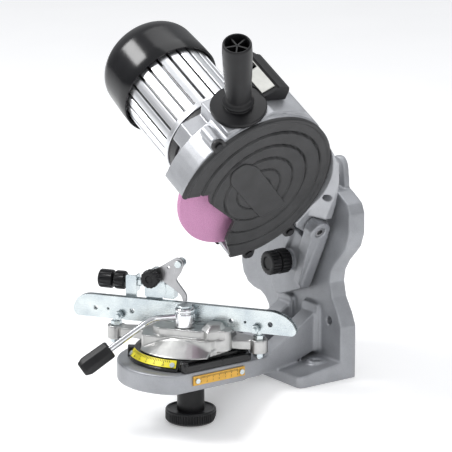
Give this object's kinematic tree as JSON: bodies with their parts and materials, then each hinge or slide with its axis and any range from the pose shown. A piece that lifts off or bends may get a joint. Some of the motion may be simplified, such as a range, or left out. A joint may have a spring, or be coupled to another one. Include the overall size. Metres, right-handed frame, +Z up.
{
  "type": "bench chain grinder",
  "caption": "Bench-mounted saw chain grinder: swivelling chain vise on a cast base, tilting arm with a motor-driven thin grinding wheel on a swinging guarded head.",
  "frame": {"origin": "centre of the base casting's flat underside, on the bench plane", "axes": "+Z up from the bench, +X to the operator's right, +Y away from the operator; the vise table overhangs the bench's front edge towards -Y"},
  "size_m": [0.2614, 0.2641, 0.3949],
  "materials": {
    "cast_silver": "silver hammered paint on a casting",
    "head_silver": "pale silver paint on a casting",
    "machined": "machined casting",
    "zinc": "bright zinc plate",
    "steel": "bare steel",
    "chrome": "polished chrome",
    "black_plastic": "satin black moulding",
    "grey_plastic": "dark grey moulding",
    "gloss_black": "glossy black moulding",
    "fins": "bright finned shell",
    "winding": "laminations and varnished copper",
    "abrasive": "bonded pink abrasive",
    "orange_scale": "orange printed plate",
    "yellow_scale": "yellow printed arc",
    "pale_label": "pale control panel"
  },
  "bodies": {
    "base": {"base_casting": "cast_silver", "table_scale": "orange_scale", "table_scale_screw_front": "zinc", "table_scale_screw_rear": "zinc"},
    "slide": {"slide_plate": "black_plastic", "angle_scale": "yellow_scale", "angle_scale_screw_left": "zinc", "angle_scale_screw_right": "zinc", "pivot_bolt": "steel"},
    "lock_knob": {"lock_knob": "black_plastic"},
    "vise": {"turntable": "machined", "back_rail": "zinc", "rail_stud_left": "zinc", "rail_stud_right": "zinc", "height_screw_left": "zinc", "height_screw_right": "zinc", "cam_post": "zinc", "stop_bracket": "zinc"},
    "front_rail": {"front_rail": "zinc"},
    "clamp_lever": {"cam_hub": "chrome", "lever_rod": "chrome", "lever_grip": "black_plastic"},
    "stop_screw": {"stop_screw": "zinc", "stop_knob": "black_plastic"},
    "stop_lock_wheel": {"stop_lock_wheel": "black_plastic"},
    "stop_carriage": {"stop_carriage": "zinc"},
    "pawl": {"pawl_arm": "steel", "pawl_roller": "zinc"},
    "pawl_knob": {"pawl_knob": "black_plastic"},
    "tilt_arm": {"tilt_arm": "cast_silver", "hinge_pin": "steel", "tilt_bolt": "steel", "return_spring": "steel"},
    "tilt_clamp_knob": {"tilt_clamp_knob": "black_plastic"},
    "depth_stop": {"depth_screw": "zinc", "depth_knob": "black_plastic"},
    "head": {"head_casting": "head_silver", "guard_cover": "grey_plastic", "cover_screw_top": "steel", "cover_screw_bottom": "steel", "cover_screw_rear": "steel", "motor_shell": "fins", "motor_ring": "grey_plastic", "motor_cap": "gloss_black", "stator": "winding", "bearing_front": "steel", "bearing_rear": "steel", "handle": "black_plastic", "switch_box": "black_plastic", "switch_panel": "pale_label", "cable_gland": "black_plastic", "work_lamp": "black_plastic"},
    "switch_rocker": {"switch_rocker": "gloss_black"},
    "spindle": {"spindle_shaft": "steel", "rotor": "steel", "cooling_fan": "black_plastic", "wheel_flange_inner": "steel", "wheel_flange_outer": "steel", "arbor_nut": "steel", "grinding_wheel": "abrasive"}
  },
  "joints": [
    {"name": "slide_travel", "type": "slide", "parent": "base", "child": "slide", "axis": [0, 1, 0], "range_m": [-0.013, 0.012]},
    {"name": "vise_swing", "type": "hinge", "parent": "slide", "child": "vise", "pos_m": [0, -0.102, 0.031], "axis": [0, 0, 1], "range_deg": [-69, 0.7]},
    {"name": "lock_knob_turn", "type": "hinge", "parent": "slide", "child": "lock_knob", "pos_m": [0, -0.102, -0.02], "axis": [0, 0, 1], "range_deg": [-360, 0]},
    {"name": "clamp_lever_swing", "type": "hinge", "parent": "vise", "child": "clamp_lever", "pos_m": [0.00873, -0.11481, 0.069], "axis": [0, 0, 1], "range_deg": [-25.2, 50.2]},
    {"name": "front_rail_squeeze", "type": "slide", "parent": "vise", "child": "front_rail", "axis": [-0.5635, 0.8261, 0], "range_m": [-0.00035, 0.0007]},
    {"name": "stop_screw_turn", "type": "hinge", "parent": "vise", "child": "stop_screw", "pos_m": [-0.07557, -0.14205, 0.091], "axis": [0.8261, 0.5635, 0], "range_deg": [-721, 1081]},
    {"name": "stop_carriage_feed", "type": "slide", "parent": "vise", "child": "stop_carriage", "axis": [0.8261, 0.5635, 0], "range_m": [-0.002, 0.003]},
    {"name": "stop_lock_wheel_turn", "type": "hinge", "parent": "vise", "child": "stop_lock_wheel", "pos_m": [-0.06566, -0.13529, 0.091], "axis": [0.8261, 0.5635, 0], "range_deg": [-360, 0]},
    {"name": "pawl_lift", "type": "hinge", "parent": "stop_carriage", "child": "pawl", "pos_m": [-0.0304, -0.12274, 0.1], "axis": [-0.5635, 0.8261, 0], "range_deg": [-40, 0]},
    {"name": "pawl_knob_turn", "type": "hinge", "parent": "stop_carriage", "child": "pawl_knob", "pos_m": [-0.02589, -0.12935, 0.1], "axis": [-0.5635, 0.8261, 0], "range_deg": [-360, 0]},
    {"name": "head_tilt", "type": "hinge", "parent": "base", "child": "tilt_arm", "pos_m": [0, 0.01, 0.08], "axis": [0, 1, 0], "range_deg": [-28, 7]},
    {"name": "tilt_clamp_turn", "type": "hinge", "parent": "tilt_arm", "child": "tilt_clamp_knob", "pos_m": [0, 0.046, 0.08], "axis": [0, 1, 0], "range_deg": [-360, 0]},
    {"name": "depth_knob_turn", "type": "hinge", "parent": "tilt_arm", "child": "depth_stop", "pos_m": [0.01905, -0.012, 0.10838], "axis": [0, 1, 0], "range_deg": [-360, 360]},
    {"name": "head_swing", "type": "hinge", "parent": "tilt_arm", "child": "head", "pos_m": [0.04164, -0.0006, 0.15832], "axis": [0.8829, 0, -0.4695], "range_deg": [0, 38], "stiffness_Nm_per_rad": 4, "springref_deg": -68.75},
    {"name": "switch_rock", "type": "hinge", "parent": "head", "child": "switch_rocker", "pos_m": [0.06944, -0.08655, 0.31284], "axis": [0.2333, 0.8678, 0.4388], "range_deg": [0, 14]},
    {"name": "spindle_spin", "type": "hinge", "parent": "head", "child": "spindle", "pos_m": [0.06793, -0.0865, 0.20776], "axis": [0.8829, 0, -0.4695], "continuous": true}
  ],
  "couplings": [
    {"joint": "clamp_lever_swing", "follows": "front_rail_squeeze", "rad_per_m": 1250},
    {"joint": "stop_screw_turn", "follows": "stop_carriage_feed", "rad_per_m": 6283.2}
  ]
}
